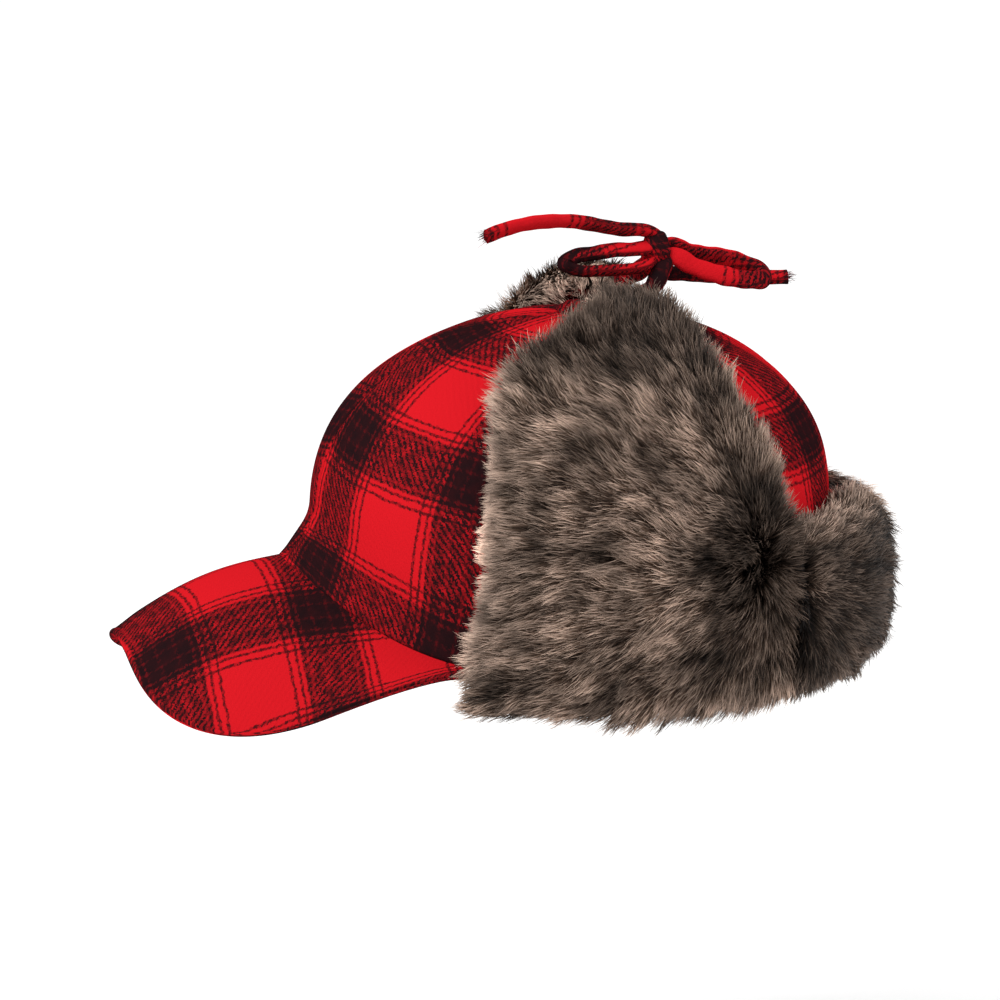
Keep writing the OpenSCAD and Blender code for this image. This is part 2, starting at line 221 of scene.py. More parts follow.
def plaid_cloth(name, slide=(0, 0), turn=0.0, nap=0.6, bump=0.45):
    m = bpy.data.materials.new(name)
    m.use_nodes = True
    t = m.node_tree
    uv = t.nodes.new("ShaderNodeUVMap")
    uv.uv_map = "cloth"
    place = t.nodes.new("ShaderNodeMapping")
    place.inputs["Location"].default_value = (slide[0] * MM, slide[1] * MM, 0)
    place.inputs["Rotation"].default_value = (0, 0, math.radians(turn))
    t.links.new(uv.outputs[0], place.inputs[0])
    weave = t.nodes.new("ShaderNodeGroup")
    weave.node_tree = PLAID
    weave.inputs["Nap"].default_value = nap
    t.links.new(place.outputs[0], weave.inputs["Cloth"])
    rise = t.nodes.new("ShaderNodeBump")
    rise.inputs["Strength"].default_value = bump
    rise.inputs["Distance"].default_value = 0.0004
    t.links.new(weave.outputs["Height"], rise.inputs["Height"])
    skin = t.nodes["Principled BSDF"]
    t.links.new(weave.outputs["Color"], skin.inputs["Base Color"])
    t.links.new(rise.outputs[0], skin.inputs["Normal"])
    skin.inputs["Roughness"].default_value = 0.95
    skin.inputs["Specular IOR Level"].default_value = 0.0
    return m


def add_piece(name, mesh, material):
    piece = bpy.data.objects.new(name.replace(" ", "_"), mesh)
    bpy.context.collection.objects.link(piece)
    if material is not None:
        mesh.materials.clear()
        mesh.materials.append(material)
    for p in mesh.polygons:
        p.use_smooth = True
    return piece


def quads_mesh(name, points, quads, cloth=None):
    """points in millimetres; cloth is each point's place on the flat cloth, in millimetres."""
    mesh = bpy.data.meshes.new(name)
    mesh.from_pydata((np.asarray(points) * MM).tolist(), [], quads)
    if cloth is not None:
        uv = mesh.uv_layers.new(name="cloth")
        idx = np.empty(len(mesh.loops), dtype=np.int32)
        mesh.loops.foreach_get("vertex_index", idx)
        uv.data.foreach_set("uv", (np.asarray(cloth)[idx] * MM).astype(np.float32).ravel())
    mesh.update()
    return mesh


def outward(mesh):
    b = bmesh.new()
    b.from_mesh(mesh)
    bmesh.ops.recalc_face_normals(b, faces=b.faces)
    b.to_mesh(mesh)
    b.free()
    mesh.update()
    return mesh


def welded(mesh):
    """Closes the pole of a turned shape, where a whole ring of points is in one place."""
    b = bmesh.new()
    b.from_mesh(mesh)
    bmesh.ops.remove_doubles(b, verts=b.verts, dist=0.02 * MM)
    b.to_mesh(mesh)
    b.free()
    return mesh


def smooth_route(route, per=8):
    p = np.asarray(route, float)
    p = np.vstack([2 * p[0] - p[1], p, 2 * p[-1] - p[-2]])
    out = []
    for i in range(1, len(p) - 2):
        a, b, c, d = p[i - 1:i + 3]
        for k in range(per):
            s = k / per
            out.append(0.5 * (2 * b + (c - a) * s + (2 * a - 5 * b + 4 * c - d) * s * s
                              + (3 * b - a - 3 * c + d) * s ** 3))
    out.append(p[-2])
    return np.array(out)


def flat_tube(name, route, tilts, material, red_at, bias):
    """A flattened cloth tube along a route in mm; tilts are (share of the route, degrees) pairs.
    red_at is how far along it the middle of a red square of the cloth lies, and bias how much
    the cloth was cut off its grain."""
    path = smooth_route(route)
    n, sides = len(path), 16
    ahead = np.gradient(path, axis=0)
    ahead /= np.linalg.norm(ahead, axis=1)[:, None]
    length = np.concatenate([[0], np.cumsum(np.linalg.norm(np.diff(path, axis=0), axis=1))])
    tilt = np.radians(np.interp(length / length[-1], [t[0] for t in tilts], [t[1] for t in tilts]))
    wide = np.array([1.0, 0, 0]) - ahead * ahead[:, :1]
    wide /= np.linalg.norm(wide, axis=1)[:, None]
    over = np.cross(ahead, wide)
    w = wide * np.cos(tilt)[:, None] + over * np.sin(tilt)[:, None]
    o = np.cross(ahead, w)
    swell = 1 + 0.10 * np.sin(length * 0.55 + 1.0) * np.sin(length * 0.21)
    pts, uv = [], []
    for i in range(n):
        for k in range(sides):
            a = 2 * math.pi * k / sides
            cx = math.copysign(abs(math.cos(a)) ** 0.75, math.cos(a))
            cy = math.copysign(abs(math.sin(a)) ** 0.85, math.sin(a))
            pts.append(path[i] + w[i] * cx * TIE_WIDE / MM / 2 * swell[i] + o[i] * cy * TIE_THICK / MM / 2)
            uv.append((k * 1.25 - 10 + bias * (length[i] - red_at), length[i] - red_at))
    quads = [(i * sides + k, i * sides + (k + 1) % sides, (i + 1) * sides + (k + 1) % sides, (i + 1) * sides + k)
             for i in range(n - 1) for k in range(sides)]
    quads.append(tuple(range(sides)))
    quads.append(tuple((n - 1) * sides + k for k in range(sides)))
    piece = add_piece(name, outward(quads_mesh(name, pts, quads, uv)), material)
    return piece, path * MM, length[-1] * MM


left_route = [(17, 24, 137), (13, 30, 140), (8, 35, 146), (3, 36, 148.5), (5, 31, 147.5), (9.5, 26, 147),
              (12, 18, 147), (14, 8, 147.5), (14, 0, 148), (12.5, -5, 150.5), (10, 0, 153), (9, 8, 153.5),
              (7.5, 16, 154), (6, 25, 153.5), (3, 32, 154), (0, 34.5, 157), (2, 29, 160), (3, 20, 161),
              (5, 10, 163.5), (7, 0, 166), (9, -10, 167), (11, -20, 167), (13, -30, 165.5), (14, -37, 163.5)]
right_route = [(-17, 24, 137), (-11, 29, 140), (-5, 33, 145), (0, 35, 147), (5, 41, 149.5), (6, 48, 145.5),
               (8, 58, 142), (8, 68, 139.5), (4, 76, 138.5), (-1, 76, 141), (-4, 68, 144.5), (-5, 58, 147),
               (-3, 48, 149.5), (-1.5, 41, 153), (-3, 36, 150), (-5, 37, 144), (-6, 40, 141), (-10, 50, 139),
               (-12, 62, 137), (-11, 74, 136), (-9, 84, 136), (-8, 90, 136)]
tie_cloth = plaid_cloth("tie plaid", nap=0.5)
left_tie, left_path, left_long = flat_tube(
    "left plaid tie", left_route, [(0, 60), (0.2, 20), (0.55, 15), (0.66, 35), (1, 42)], tie_cloth, 166, 0.28)
right_tie, right_path, right_long = flat_tube(
    "right plaid tie", right_route, [(0, 50), (0.2, 60), (0.35, 65), (0.5, 70), (0.6, 55), (0.75, 20), (1, 15)],
    tie_cloth, 38, 0.28)

# The knot is one turn of the tie pulled tight round the others, so it is ribbed and taller than wide.
KNOT, KNOT_LEAN = (2, 34, 151), 0.1
rings, sides = 28, 36
pts, uv = [], []
for i in range(rings + 1):
    lat = math.pi * (i / rings - 0.5)
    for k in range(sides):
        lon = 2 * math.pi * k / sides
        fold = (0.6 * math.sin(4 * lat + 1.6 * math.sin(lon + 0.6)) + 0.4 * math.sin(2 * lon + 5 * lat)
                + 0.25 * math.sin(5 * lon - 3 * lat))
        r = 1 + 0.12 * fold
        x = 5.9 * math.cos(lat) ** 0.8 * math.cos(lon) * r
        y = 5.7 * math.cos(lat) ** 0.8 * math.sin(lon) * r
        z = 8.3 * math.sin(lat) * (1 + 0.04 * fold)
        y += KNOT_LEAN * z
        pts.append((KNOT[0] + x, KNOT[1] + y, KNOT[2] + z))
        uv.append((17 + lat * 9, 21 + 8 * math.sin(lon + lat)))
quads = [(i * sides + k, i * sides + (k + 1) % sides, (i + 1) * sides + (k + 1) % sides, (i + 1) * sides + k)
         for i in range(rings) for k in range(sides)]
knot = add_piece("knot of the bow", outward(welded(quads_mesh("tie knot piece", pts, quads, uv))), tie_cloth)


def frayed_end(name, path, spread, material, seed):
    rng = np.random.default_rng(seed)
    tip, way = path[-1] / MM, (path[-1] - path[-3]) / MM
    way = way / np.linalg.norm(way)
    pts, tris, uv = [], [], []
    for i in range(46):
        side = rng.normal(size=3)
        side -= way * side.dot(way)
        side /= np.linalg.norm(side)
        start = tip - way * 0.8 + side * spread * rng.uniform(0.1, 0.95)
        long = rng.uniform(1.2, 4.2)
        bend = rng.normal(size=3) * 0.5
        base = len(pts)
        cross = np.cross(way, side) * 0.16
        for s in (0, 0.5, 1.0):
            c = start + way * long * s + bend * s * s * long * 0.5 + side * 0.4 * s
            pts += [c + cross * (1 - 0.6 * s), c - cross * (1 - 0.6 * s)]
            uv += [(26 if i % 3 else 0, 20)] * 2
        tris += [(base, base + 1, base + 3, base + 2), (base + 2, base + 3, base + 5, base + 4)]
    return add_piece(name, quads_mesh(name, pts, tris, uv), material)


left_fray = frayed_end("left tie fray", left_path, 3.0, tie_cloth, 4)
right_fray = frayed_end("right tie fray", right_path, 2.4, tie_cloth, 9)
for piece in (left_tie, knot, left_fray):
    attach(piece, "left_ear_flap")
for piece in (right_tie, right_fray):
    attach(piece, "right_ear_flap")
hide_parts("left_tie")
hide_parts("right_tie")
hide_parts("tie_knot")


# ---- Crown gores ----
# Six wedges of brushed plaid wool cloth sewn edge to edge, with the seam allowances pressed inside,
# so each seam is a shallow groove. The front kicks out over the brim's seam with a soft crease.
HALF_LONG, HALF_WIDE = 102, 86
SPRING, DOME, PEAK_BACK, FULL = 50, 79.5, 2.5, 0.82
EDGE, FRONT_RISE, FRONT_FLARE = 1, 37, 13
GORE_THICK = 2.5


def clamp01(t):
    return np.clip(t, 0, 1)


def ease(t):
    t = clamp01(t)
    return t * t * (3 - 2 * t)


def edge_height(az):
    a = np.abs(az)
    return EDGE + FRONT_RISE * (0.62 * np.exp(-(a / 30) ** 2) + 0.38 * (1 - ease(a / 95)))


def kick(az, z):
    return FRONT_FLARE * np.exp(-(az / 28) ** 2) * clamp01((edge_height(az) + 20 - z) / 20) ** 1.4


def wall_point(az, z, off):
    az, z, off = np.broadcast_arrays(np.asarray(az, float), z, off)
    k = off + kick(az, z)
    a = np.radians(az)
    return np.stack([(HALF_WIDE + k) * np.sin(a), -(HALF_LONG + k) * np.cos(a), z + 0 * a], -1)


def dome_point(az, rise, off):
    az, rise, off = np.broadcast_arrays(np.asarray(az, float), rise, off)
    a, r = np.radians(az), np.radians(np.clip(rise, 0, 90))
    z = SPRING + (DOME + off) * np.sin(r) ** FULL
    k = kick(az, z)
    return np.stack([((HALF_WIDE + off) * np.cos(r) + k) * np.sin(a),
                     -((HALF_LONG + off) * np.cos(r) + k) * np.cos(a) + PEAK_BACK * np.sin(r) ** 2, z], -1)


def crown_point(az, q, off):
    az, q, off = np.broadcast_arrays(np.asarray(az, float), q, off)
    e = edge_height(az)
    wall = wall_point(az, e + (SPRING - e) * np.minimum(q, 0.35) / 0.35, off)
    dome = dome_point(az, (np.maximum(q, 0.35) - 0.35) / 0.65 * 90, off)
    return np.where((q < 0.35)[..., None], wall, dome)


def slab(name, under, over, cloth, material):
    """A closed sheet between two grids of points, rows by columns, in millimetres."""
    rows, cols = over.shape[:2]
    n = rows * cols
    pts = np.concatenate([under.reshape(-1, 3), over.reshape(-1, 3)])
    uv = np.concatenate([cloth.reshape(-1, 2)] * 2)
    i, j = np.meshgrid(np.arange(rows - 1), np.arange(cols - 1), indexing="ij")
    a = (i * cols + j).ravel()
    quads = [(x, x + cols, x + cols + 1, x + 1) for x in a]
    quads += [(n + x, n + x + 1, n + x + cols + 1, n + x + cols) for x in a]
    for x in range(cols - 1):
        y = (rows - 1) * cols + x
        quads += [(x, x + 1, n + x + 1, n + x), (y + 1, y, n + y, n + y + 1)]
    for r in range(rows - 1):
        x, y = r * cols, r * cols + cols - 1
        quads += [(x + cols, x, n + x, n + x + cols), (y, y + cols, n + y + cols, n + y)]
    return add_piece(name, outward(quads_mesh(name, pts, quads, uv)), material)


def cloth_grid(points, middle, cut=(1, 0, 0, 1), at=(0, 0)):
    """Where each point of a grid lies on the flat cloth, 0, 0 being the middle of a red square.
    cut turns distance across from the middle column, and up it, into places along the two yarns."""
    step = np.linalg.norm(np.diff(points, axis=1), axis=2)
    u = np.concatenate([np.zeros((len(points), 1)), np.cumsum(step, axis=1)], axis=1)
    u -= u[:, middle:middle + 1]
    rise = np.linalg.norm(np.diff(points[:, middle], axis=0), axis=1)
    v = np.concatenate([[0], np.cumsum(rise)])[:, None] + 0 * u
    return np.stack([at[0] + cut[0] * u + cut[1] * v, at[1] + cut[2] * u + cut[3] * v], -1)


def soft_wave(x, y, seed):
    """A gentle unevenness from -1 to 1 over a surface, the same each time."""
    rng = np.random.default_rng(seed)
    total = 0
    for k in range(5):
        f, g, p = rng.uniform(0.5, 2.2), rng.uniform(0.5, 2.2), rng.uniform(0, 6.28)
        total = total + np.sin(f * x + g * y * (1 if k % 2 else -1) + p) / 5
    return total * 1.6


def gore(name, start, end, material, seed, cut, at):
    q = np.linspace(0, 0.985, 90)[:, None]
    az = np.linspace(start + 0.03, end - 0.03, 56)[None, :]
    base = crown_point(az, q, 0 * az)
    width = np.linalg.norm(base[:, -1] - base[:, 0], axis=1)[:, None] + 1e-6
    share = (az - start) / (end - start)
    seam = np.minimum(share, 1 - share) * width
    off = -1.2 * np.exp(-(seam / 1.6) ** 2) + 0.8 * soft_wave(az / 13, q * 7, seed) * ease(seam / 14) * ease(q * 6)
    over = crown_point(az, q, off)
    return slab(name, crown_point(az, q, -GORE_THICK + 0 * off), over, cloth_grid(base, 28, cut, at), material)


crown_cloth = plaid_cloth("crown plaid")
LEFT_CUT, RIGHT_CUT = (0.97, -0.11, 0.18, 1.02), (0.97, 0.11, -0.18, 1.02)
gores = [("front left gore", 0, 60, "crown_front_left", LEFT_CUT, (0.5, -37.6)),
         ("front right gore", -60, 0, "crown_front_right", RIGHT_CUT, (-4, -37.6)),
         ("side left gore", 60, 120, "crown_side_left", LEFT_CUT, (57, -26)),
         ("side right gore", -120, -60, "crown_side_right", RIGHT_CUT, (-57, -26)),
         ("back left gore", 120, 180, "crown_back_left", (1, 0, 0, 1), (26, 8)),
         ("back right gore", 180, 240, "crown_back_right", (1, 0, 0, 1), (-26, 8))]
for i, (name, start, end, node, cut, at) in enumerate(gores):
    piece = gore(name, start, end, crown_cloth, 20 + i, cut, at)
    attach(piece, "crown")
    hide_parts(node)


# ---- Top button ----
# A metal button form covered in the plaid cloth, pushed through the point where the gores meet.
PEAK_Z = SPRING + DOME
rings, sides = 14, 40
pts, uv = [], []
for i in range(rings + 1):
    r = 7.7 * math.sin(math.pi / 2 * i / rings)
    z = PEAK_Z + 0.2 + 3.8 * (1 - (r / 7.75) ** 2.4)
    for k in range(sides):
        lon = 2 * math.pi * k / sides
        pts.append((r * math.cos(lon), PEAK_BACK + r * math.sin(lon), z))
        uv.append((r * math.cos(lon) + 24, r * math.sin(lon) + 8))
for k in range(sides):
    lon = 2 * math.pi * k / sides
    pts.append((5.5 * math.cos(lon), PEAK_BACK + 5.5 * math.sin(lon), PEAK_Z - 0.4))
    uv.append((5.5 * math.cos(lon) + 24, 5.5 * math.sin(lon) + 8))
quads = [(i * sides + k, i * sides + (k + 1) % sides, (i + 1) * sides + (k + 1) % sides, (i + 1) * sides + k)
         for i in range(rings + 1) for k in range(sides)]
quads.append(tuple((rings + 1) * sides + k for k in range(sides)))
button_mesh = outward(welded(quads_mesh("top button piece", pts, quads, uv)))
button = add_piece("covered button", button_mesh, plaid_cloth("button plaid"))
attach(button, "crown")
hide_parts("top_button")


def plain(name, color, rough, sheen=0.0):
    m = bpy.data.materials.new(name)
    m.use_nodes = True
    t = m.node_tree
    where = t.nodes.new("ShaderNodeTexCoord")
    grain = t.nodes.new("ShaderNodeTexNoise")
    grain.inputs["Scale"].default_value = 900
    t.links.new(where.outputs["Object"], grain.inputs["Vector"])
    tone = t.nodes.new("ShaderNodeMix")
    tone.data_type = "RGBA"
    tone.inputs[6].default_value = (*[c * 0.8 for c in color], 1)
    tone.inputs[7].default_value = (*[min(1, c * 1.2) for c in color], 1)
    t.links.new(grain.outputs["Fac"], tone.inputs[0])
    rise = t.nodes.new("ShaderNodeBump")
    rise.inputs["Strength"].default_value = 0.2
    rise.inputs["Distance"].default_value = 0.0003
    t.links.new(grain.outputs["Fac"], rise.inputs["Height"])
    skin = t.nodes["Principled BSDF"]
    t.links.new(tone.outputs[2], skin.inputs["Base Color"])
    t.links.new(rise.outputs[0], skin.inputs["Normal"])
    skin.inputs["Roughness"].default_value = rough
    skin.inputs["Sheen Weight"].default_value = sheen
    return m


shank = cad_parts["button_shank"]
steel = plain("button steel", (0.55, 0.55, 0.56), 0.35)
steel.node_tree.nodes["Principled BSDF"].inputs["Metallic"].default_value = 1
shank.data.materials.clear()
shank.data.materials.append(steel)


# ---- Lining and sweatband ----
# A black quilted satin cup is caught in the edge seam inside the gores, and a ribbed cotton tape
# lies against the forehead, sewn along its lower edge with a row of dark stitches.
QUILT = 34  # between quilting lines, in mm
q = np.linspace(0.012, 0.985, 90)[:, None]
az = np.linspace(-180, 180, 217)[None, :]
u = np.radians(az) * 92 + 0 * q
v = q * 190 + 0 * az
quilt = np.abs(np.sin((u + v) * math.pi / QUILT)) * np.abs(np.sin((u - v) * math.pi / QUILT))
inner = crown_point(az, q, -GORE_THICK - 0.5 - 1.9 * quilt ** 0.35)
satin = plain("lining satin", (0.018, 0.018, 0.02), 0.42, 0.2)
lining = slab("quilted lining", inner, crown_point(az, q, -GORE_THICK - 0.3 + 0 * az + 0 * q),
              np.stack([u, v], -1), satin)
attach(lining, "crown")
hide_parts("crown_lining")

BAND_LOW, BAND_HIGH = 0.6, 29
band_rise = np.linspace(BAND_LOW, BAND_HIGH, 16)[:, None]
band_az = np.linspace(-179.7, 179.7, 181)[None, :]


def crown_at_height(az, z, off):
    az, z, off = np.broadcast_arrays(az, z, off)
    rise = np.degrees(np.arcsin(clamp01((z - SPRING) / (DOME + off)) ** (1 / FULL)))
    return np.where((z <= SPRING)[..., None], wall_point(az, z, off), dome_point(az, rise, off))


band_z = edge_height(band_az) + band_rise
roll = -0.5 * np.sin(math.pi * (band_rise - BAND_LOW) / (BAND_HIGH - BAND_LOW)) ** 0.5
band_in = crown_at_height(band_az, band_z, -GORE_THICK - 3.2 + roll)
band_out = crown_at_height(band_az, band_z, -GORE_THICK - 2.5 + 0 * roll)
tape = plain("sweatband cotton", (0.022, 0.022, 0.025), 0.85)
sweatband = slab("sweatband tape", band_in, band_out, np.stack([np.radians(band_az) * 90 + 0 * band_rise,
                                                          band_rise + 0 * band_az], -1), tape)
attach(sweatband, "crown")
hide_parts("sweatband")


# ---- Brim ----
# A plastic board between two layers of plaid cloth, bent across and sloping down, and stitched to
# the arched front edge of the crown. The cloth is drawn round the rim, so the edge is soft.
BRIM_LONG, BRIM_HALF, BRIM_SLOPE, BRIM_BEND, BRIM_END = 63.5, 71.5, 22.5, 77.5, 55
BRIM_TURN = 5  # how far the left front corner reaches past the right one
BRIM_CLOTH, BRIM_BOARD = 1.1, 2.0
TIP_Y = HALF_LONG + FRONT_FLARE + BRIM_LONG
TIP_Z = EDGE + FRONT_RISE - BRIM_LONG * math.tan(math.radians(BRIM_SLOPE))


def brim_point(s, w, depth):
    s, w, depth = np.broadcast_arrays(s, w, depth)
    inner = wall_point(s * BRIM_END, edge_height(s * BRIM_END) + 0.6, -1.4 + 0 * s)
    corner = wall_point(BRIM_END, edge_height(BRIM_END), 0.4)
    x = BRIM_HALF * np.sign(s) * np.abs(np.sin(s * math.pi / 2)) ** 0.51
    reach = (TIP_Y + corner[1]) * np.abs(np.cos(s * math.pi / 2 * 0.9988)) ** 0.5
    y = corner[1] - reach - BRIM_TURN * x / BRIM_HALF
    sag = BRIM_BEND - np.sqrt(BRIM_BEND ** 2 - x * x)
    z = TIP_Z - sag + math.tan(math.radians(BRIM_SLOPE)) * (TIP_Y + y)
    stub = wall_point(s * BRIM_END, edge_height(s * BRIM_END) - 2.5, 5.5 + 0 * s)
    k = ease((np.abs(s) - 0.86) / 0.14)[..., None]
    outer = np.stack([x, y, z], -1) * (1 - k) + stub * k
    p = inner * (1 - w[..., None]) + outer * w[..., None]
    p[..., 2] += 5.4 * np.sin(w * math.pi) * (1 - np.abs(s) ** 3)
    lean = np.arcsin(p[..., 0] / (BRIM_BEND + 6))
    p[..., 0] -= depth * np.sin(lean)
    p[..., 2] -= depth * np.cos(lean)
    return p


def brim_skin(name, top, material):
    full = 2 * BRIM_CLOTH + BRIM_BOARD + 0.2
    s = np.sin(np.linspace(-1, 1, 121) * math.pi / 2 * 0.999)[None, :] * 0.5 + np.linspace(-1, 1, 121)[None, :] * 0.5
    turn = np.linspace(0, 90, 9)[1:]
    rows = [(w, 0.0) for w in np.linspace(0, 1, 34)] + [(1.0, t) for t in turn]
    out, inn = [], []
    for w, t in rows:
        rim = full / 2
        r = math.radians(t)
        for keep, shell in ((out, 0.0), (inn, BRIM_CLOTH)):
            rad = rim - shell
            down = rim - rad * math.cos(r)
            shift = rad * math.sin(r)
            if not top:
                down = full - down
            p = brim_point(s, w + 0 * s, down + 0 * s)
            away = p[..., :2] - np.array([0, -60.0])
            away /= np.linalg.norm(away, axis=-1)[..., None]
            p[..., :2] += away * (shift - 1.0) * ease((w - 0.85) / 0.15)
            keep.append(p[0])
    out, inn = np.array(out), np.array(inn)
    flat_u = BRIM_BEND * np.arcsin(np.clip(out[..., 0] / BRIM_BEND, -1, 1))
    flat_v = (TIP_Y + out[..., 1]) / math.cos(math.radians(BRIM_SLOPE))
    cloth = np.stack([1.03 * flat_u - 0.06 * flat_v - 3.1, 0.97 * flat_v - 41.7], -1)
    return slab(name, inn, out, cloth, material)


brim_top = brim_skin("brim top cloth", True, plaid_cloth("brim plaid"))
brim_under = brim_skin("brim under cloth", False, plaid_cloth("brim under plaid", (12, 20)))
for piece, node in ((brim_top, "brim_top_cloth"), (brim_under, "brim_under_cloth")):
    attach(piece, "crown")
    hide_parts(node)
along_s = np.linspace(-0.99, 0.99, 81)[None, :]
out_w = np.linspace(0.04, 0.975, 24)[:, None]
board = slab("brim stiffener", brim_point(along_s, out_w, BRIM_CLOTH + 0.1 + BRIM_BOARD + 0 * out_w * along_s),
             brim_point(along_s, out_w, BRIM_CLOTH + 0.1 + 0 * out_w * along_s),
             np.zeros((24, 81, 2)), plain("brim board plastic", (0.75, 0.75, 0.72), 0.6))
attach(board, "crown")
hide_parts("brim_board")


# ---- Flap cloth and padding ----
# One soft flap runs round the sides and back, sewn to the crown's lower edge: plaid cloth on the
# side that faces the crown when it is up, wadding in the middle, and fur on the other side.
GAP, FLAP_CLOTH, PADDING = 1.5, 1.2, 3.0
FOLD_DROP, EAR_FRONT, EAR_REAR, NECK_SPLIT, EAR_REACH, NECK_HIGH = 7, 59, 126, 152, 75, 53
EAR_SWEEP, RIGHT_PULL = 36, 26
EAR_LIFT, NECK_BULGE, PART_GAP = 3, 8, 1.2
LAYER2 = GAP + FLAP_CLOTH + 0.15
LAYER3 = LAYER2 + PADDING + 0.6


def ear_edges(h, pull):
    rise = np.maximum(h - 0.35, 0) / 0.65 * EAR_REACH
    tip = ease((rise - 45) / (EAR_REACH - 45))
    front = EAR_FRONT + 3 * ease(h / 0.35) + pull * ease(rise / 45) * (1 - 0.7 * tip) + EAR_SWEEP * tip
    return front, EAR_REAR - PART_GAP - 6 * ease(rise / 45) + 8 * ease((rise - 50) / (EAR_REACH - 50))


def ear_point(az, h, off):
    az, h, off = np.broadcast_arrays(az, h, off)
    o = off + EAR_LIFT * ease((h - 0.55) / 0.45)
    wall = wall_point(az, -FOLD_DROP + (SPRING + FOLD_DROP) * np.minimum(h, 0.35) / 0.35, o)
    dome = dome_point(az, (np.maximum(h, 0.35) - 0.35) / 0.65 * EAR_REACH, o)
    return np.where((h < 0.35)[..., None], wall, dome)


def neck_point(az, h, off):
    az, h, off = np.broadcast_arrays(az, h, off)
    bulge = NECK_BULGE * np.sin(math.pi * clamp01(h)) ** 0.8 * (1 - 0.18 * h)
    return wall_point(az, -FOLD_DROP + (NECK_HIGH + FOLD_DROP) * h, off + bulge)


# name, shape, front and rear edge in degrees from the brim, body, CAD name, side, front edge's pull
panels = [("left ear", ear_point, EAR_FRONT, EAR_REAR - PART_GAP, "left_ear_flap", "left_ear", 1, 0),
          ("right ear", ear_point, EAR_FRONT, EAR_REAR - PART_GAP, "right_ear_flap", "right_ear", -1,
           RIGHT_PULL),
          ("neck left", neck_point, EAR_REAR, NECK_SPLIT - PART_GAP, "neck_flap_left", "neck_left", 1, 0),
          ("neck right", neck_point, EAR_REAR, NECK_SPLIT - PART_GAP, "neck_flap_right", "neck_right", -1, 0),
          ("neck middle", neck_point, NECK_SPLIT, 360 - NECK_SPLIT, "neck_flap_middle", "neck_middle", 1, 0)]


def panel_grid(place, start, end, side, pull, off, rows, cols, inset=0.0):
    """Points over a panel at an offset from the crown; off may vary over rows by cols."""
    long = 60 if place is neck_point else 175
    h = np.linspace(inset / long, 1 - inset / long, rows)[:, None]
    s = np.linspace(0, 1, cols)[None, :]
    wide = math.radians(end - start) * 94
    s = inset / wide + (1 - 2 * inset / wide) * s
    if place is ear_point:
        start, end = ear_edges(h, pull)
    az = start + (end - start) * s
    p = place(az, h, off + 0 * az * h)
    p[..., 0] *= side
    return p


flap_plaid = plaid_cloth("flap plaid", (31, 8))
wadding = plain("grey wadding", (0.30, 0.28, 0.26), 0.95)
for name, place, start, end, body, node, side, pull in panels:
    rows, cols = (60, 44) if place is ear_point else (26, 26)
    base = panel_grid(place, start, end, 1, pull, GAP, rows, cols)
    cloth = cloth_grid(base, cols // 2)
    under = panel_grid(place, start, end, side, pull, GAP, rows, cols)
    over = panel_grid(place, start, end, side, pull, GAP + FLAP_CLOTH, rows, cols)
    piece = slab(name + " flap cloth", under, over, cloth, flap_plaid)
    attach(piece, body)
    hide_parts(node + "_cloth")
    pad = slab(name + " flap padding", panel_grid(place, start, end, side, pull, LAYER2, rows, cols, 5),
               panel_grid(place, start, end, side, pull, LAYER2 + PADDING, rows, cols, 5), cloth, wadding)
    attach(pad, body)
    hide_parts(node + "_padding")


# ---- Fold strips ----
# Under each flap a strip of the same plaid is caught in the crown's edge seam and sewn to the
# flap's lower edge. It is the cloth hinge between crown and flap.
STRIP_TUCK, STRIP_DROP, STRIP_THICK = 2.2, 5.0, 0.9
strip_plaid = plaid_cloth("strip plaid", (6, 22))
for name, place, start, end, body, node, side, pull in panels:
    fall = np.linspace(0, 1, 12)[:, None]
    az = start + 1.5 + (end - start - 3) * np.linspace(0, 1, 36)[None, :]
    bow_in = np.sin(math.pi * fall)
    z = (edge_height(az) + STRIP_TUCK) * (1 - fall) - STRIP_DROP * fall - 0.6 * bow_in
    off = -1.6 + 3.4 * fall - 0.9 * bow_in
    outer, inner = wall_point(az, z, off), wall_point(az, z, off - STRIP_THICK)
    for grid in (outer, inner):
        grid[..., 0] *= side
    strip = slab(name + " fold strip", inner, outer, cloth_grid(outer, 18), strip_plaid)
    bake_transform(strip)


# ---- Fur ----
# Long-pile faux fur faces out when the flap is up. Its dark woven back is turned in round the
# wadding, and carries a short dense undercoat and long clumped guard hairs with pale tips.
def strand_shape():
    steps = [(0, 0.5, 0), (0.38, 0.5, 0.10), (0.74, 0.36, 0.09)]
    pts, along = [], []
    for a, w, z in steps:
        pts += [(a, -w, z), (a, w, z)]
        along += [a, a]
    pts.append((1.0, 0, 0))
    along.append(1.0)
    mesh = bpy.data.meshes.new("fur strand")
    mesh.from_pydata(pts, [], [(0, 2, 3, 1), (2, 4, 5, 3), (4, 6, 5)])
    mesh.attributes.new("along", "FLOAT", "POINT").data.foreach_set("value", along)
    for p in mesh.polygons:
        p.use_smooth = True
    return bpy.data.objects.new("fur strand", mesh)


